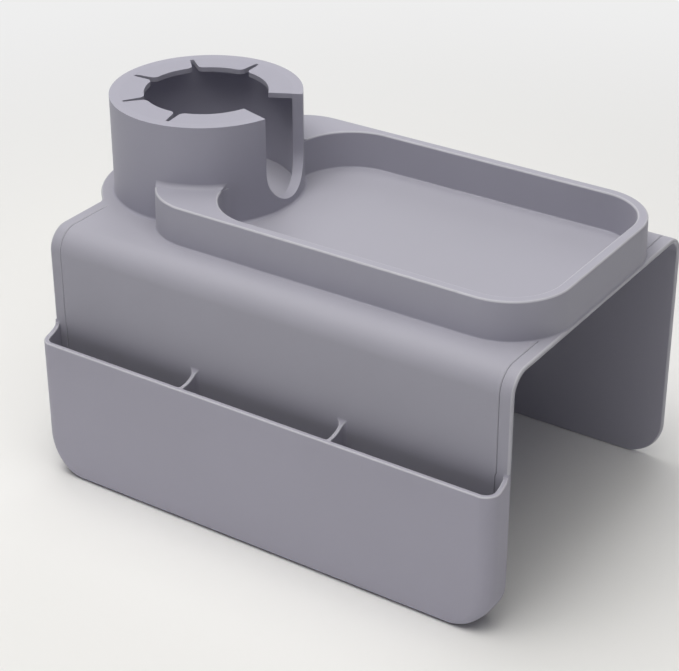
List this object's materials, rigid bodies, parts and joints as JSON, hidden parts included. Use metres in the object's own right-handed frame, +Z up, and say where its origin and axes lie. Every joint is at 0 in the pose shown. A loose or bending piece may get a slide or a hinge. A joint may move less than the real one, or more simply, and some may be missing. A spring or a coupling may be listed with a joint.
{
  "type": "sofa arm tray",
  "caption": "Soft saddle tray that hangs over a sofa arm, with a slotted cup holder, a walled tray and a divided side pocket.",
  "frame": {"origin": "centre of the top panel's flat underside, where the tray rests on the sofa's arm", "axes": "+X along the arm with the cup holder at -X, +Y away from the seat towards the back flap, +Z up"},
  "size_m": [0.324, 0.2105, 0.211],
  "materials": {
    "mat": "matte moulded silicone",
    "cup": "matte moulded silicone",
    "tray": "matte moulded silicone",
    "grip": "matte moulded silicone",
    "pocket": "matte moulded silicone"
  },
  "bodies": {
    "saddle": {"top_panel": "mat", "cup_base": "mat", "cup_wall": "cup", "grip_collar": "grip", "tray_wall": "tray", "front_bend": "mat", "back_bend": "mat"},
    "front_side": {"front_flap": "mat", "pocket": "pocket", "divider_left": "pocket", "divider_right": "pocket"},
    "back_side": {"back_flap": "mat"},
    "petal_1": {"petal_1": "grip"},
    "petal_2": {"petal_2": "grip"},
    "petal_3": {"petal_3": "grip"},
    "petal_4": {"petal_4": "grip"},
    "petal_5": {"petal_5": "grip"},
    "petal_6": {"petal_6": "grip"}
  },
  "joints": [
    {"name": "front_flap_hinge", "type": "hinge", "parent": "saddle", "child": "front_side", "pos_m": [0, -0.09292, -0.00108], "axis": [-1, 0, 0], "range_deg": [0, 90], "deforming": ["front_bend"]},
    {"name": "back_flap_hinge", "type": "hinge", "parent": "saddle", "child": "back_side", "pos_m": [0, 0.09292, -0.00108], "axis": [1, 0, 0], "range_deg": [0, 90], "deforming": ["back_bend"]},
    {"name": "petal_1_flex", "type": "hinge", "parent": "saddle", "child": "petal_1", "pos_m": [-0.08892, 0.03523, 0.0615], "axis": [0.848, -0.5299, 0], "range_deg": [-20, 40], "stiffness_Nm_per_rad": 0.01},
    {"name": "petal_2_flex", "type": "hinge", "parent": "saddle", "child": "petal_2", "pos_m": [-0.12661, 0.04063, 0.0615], "axis": [0.9205, 0.3907, 0], "range_deg": [-20, 40], "stiffness_Nm_per_rad": 0.01},
    {"name": "petal_3_flex", "type": "hinge", "parent": "saddle", "child": "petal_3", "pos_m": [-0.15019, 0.01534, 0.0615], "axis": [0.3256, 0.9455, 0], "range_deg": [-20, 40], "stiffness_Nm_per_rad": 0.01},
    {"name": "petal_4_flex", "type": "hinge", "parent": "saddle", "child": "petal_4", "pos_m": [-0.14718, -0.01911, 0.0615], "axis": [-0.4848, 0.8746, 0], "range_deg": [-20, 40], "stiffness_Nm_per_rad": 0.01},
    {"name": "petal_5_flex", "type": "hinge", "parent": "saddle", "child": "petal_5", "pos_m": [-0.11956, -0.03992, 0.0615], "axis": [-0.9744, 0.225, 0], "range_deg": [-20, 40], "stiffness_Nm_per_rad": 0.01},
    {"name": "petal_6_flex", "type": "hinge", "parent": "saddle", "child": "petal_6", "pos_m": [-0.08339, -0.02806, 0.0615], "axis": [-0.7431, -0.6691, 0], "range_deg": [-20, 40], "stiffness_Nm_per_rad": 0.01}
  ]
}
